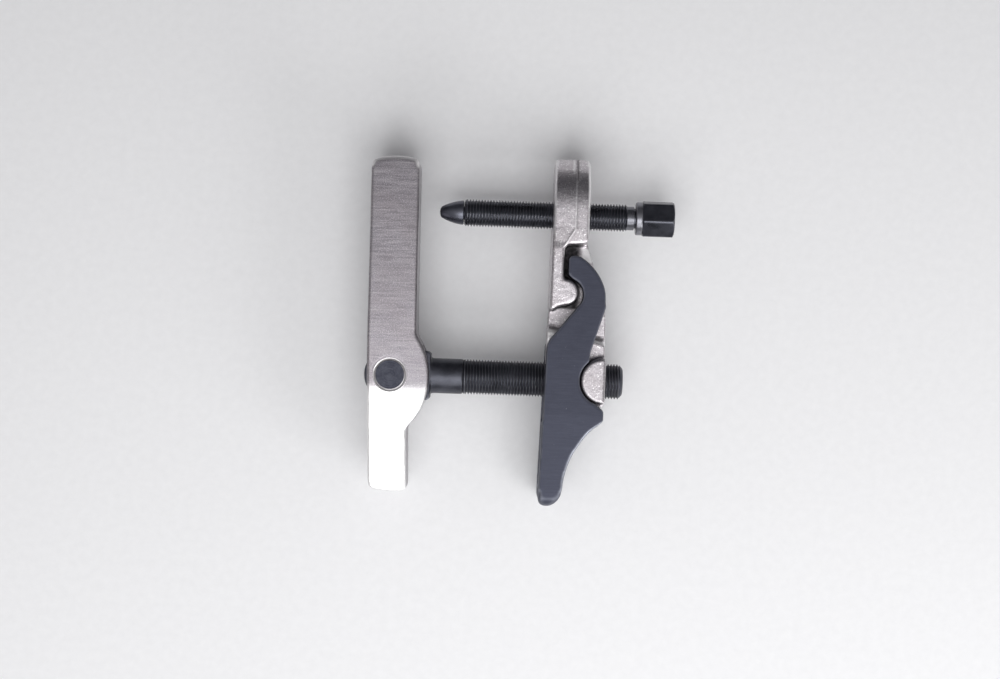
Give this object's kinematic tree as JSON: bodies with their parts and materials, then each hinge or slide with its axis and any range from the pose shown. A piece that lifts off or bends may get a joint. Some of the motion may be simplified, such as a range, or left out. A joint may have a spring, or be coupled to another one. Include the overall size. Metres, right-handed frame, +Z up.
{
  "type": "ball joint separator",
  "caption": "Two-screw ball joint separator: forked jaw hooked on a forged spindle carrier, tie rod, pivoting pressing lever and hex-head forcing spindle.",
  "frame": {"origin": "centre of the bounding box at its lowest level: the tool lies on its side on the side faces of the fork and the spindle carrier", "axes": "+X along both screws, from the pressing lever to the spindle's hexagon; +Y from the fork's jaw to the spindle; +Z up, square to the side faces"},
  "size_m": [0.1556, 0.1771, 0.054],
  "materials": {
    "plated_forging": "nickel-plated drop forging, satin, with a grainy die-forged skin",
    "plated_lever": "nickel-plated bar, satin, with fine grinding lines across it",
    "phosphated_steel": "black phosphated machined steel, matt blue-grey, lighter worn edges",
    "black_oxide_steel": "black oxide screw steel, oiled, soft gloss",
    "pin_steel": "dark turned steel face, mottled",
    "bearing_steel": "bright hardened steel"
  },
  "bodies": {
    "carrier": {"spindle_carrier": "plated_forging"},
    "fork": {"fork": "phosphated_steel"},
    "rod": {"tie_rod": "black_oxide_steel"},
    "lever": {"pressing_lever": "plated_lever", "pivot_pin": "pin_steel"},
    "tip": {"thrust_tip": "black_oxide_steel", "thrust_ball": "bearing_steel", "tip_retaining_ring": "bearing_steel"},
    "spindle": {"spindle": "black_oxide_steel"}
  },
  "joints": [
    {"name": "rod_adjust", "type": "slide", "parent": "carrier", "child": "rod", "axis": [1, 0, 0], "range_m": [-0.025, 0.002]},
    {"name": "lever_swing", "type": "hinge", "parent": "rod", "child": "lever", "pos_m": [-0.0643, -0.02515, 0.027], "axis": [0, 0, 1], "range_deg": [-1.5, 20]},
    {"name": "spindle_feed", "type": "slide", "parent": "carrier", "child": "tip", "axis": [-1, 0, 0], "range_m": [-0.042, 0.0045]},
    {"name": "spindle_turn", "type": "hinge", "parent": "tip", "child": "spindle", "pos_m": [-0.0298, 0.05885, 0.027], "axis": [-1, 0, 0], "range_deg": [-10100, 1100]},
    {"name": "fork_unhook", "type": "hinge", "parent": "carrier", "child": "fork", "pos_m": [0.0434, -0.02465, 0.027], "axis": [0, 0, 1], "range_deg": [-15, 0]}
  ],
  "couplings": [
    {"joint": "spindle_turn", "follows": "spindle_feed", "rad_per_m": 4188.8}
  ]
}
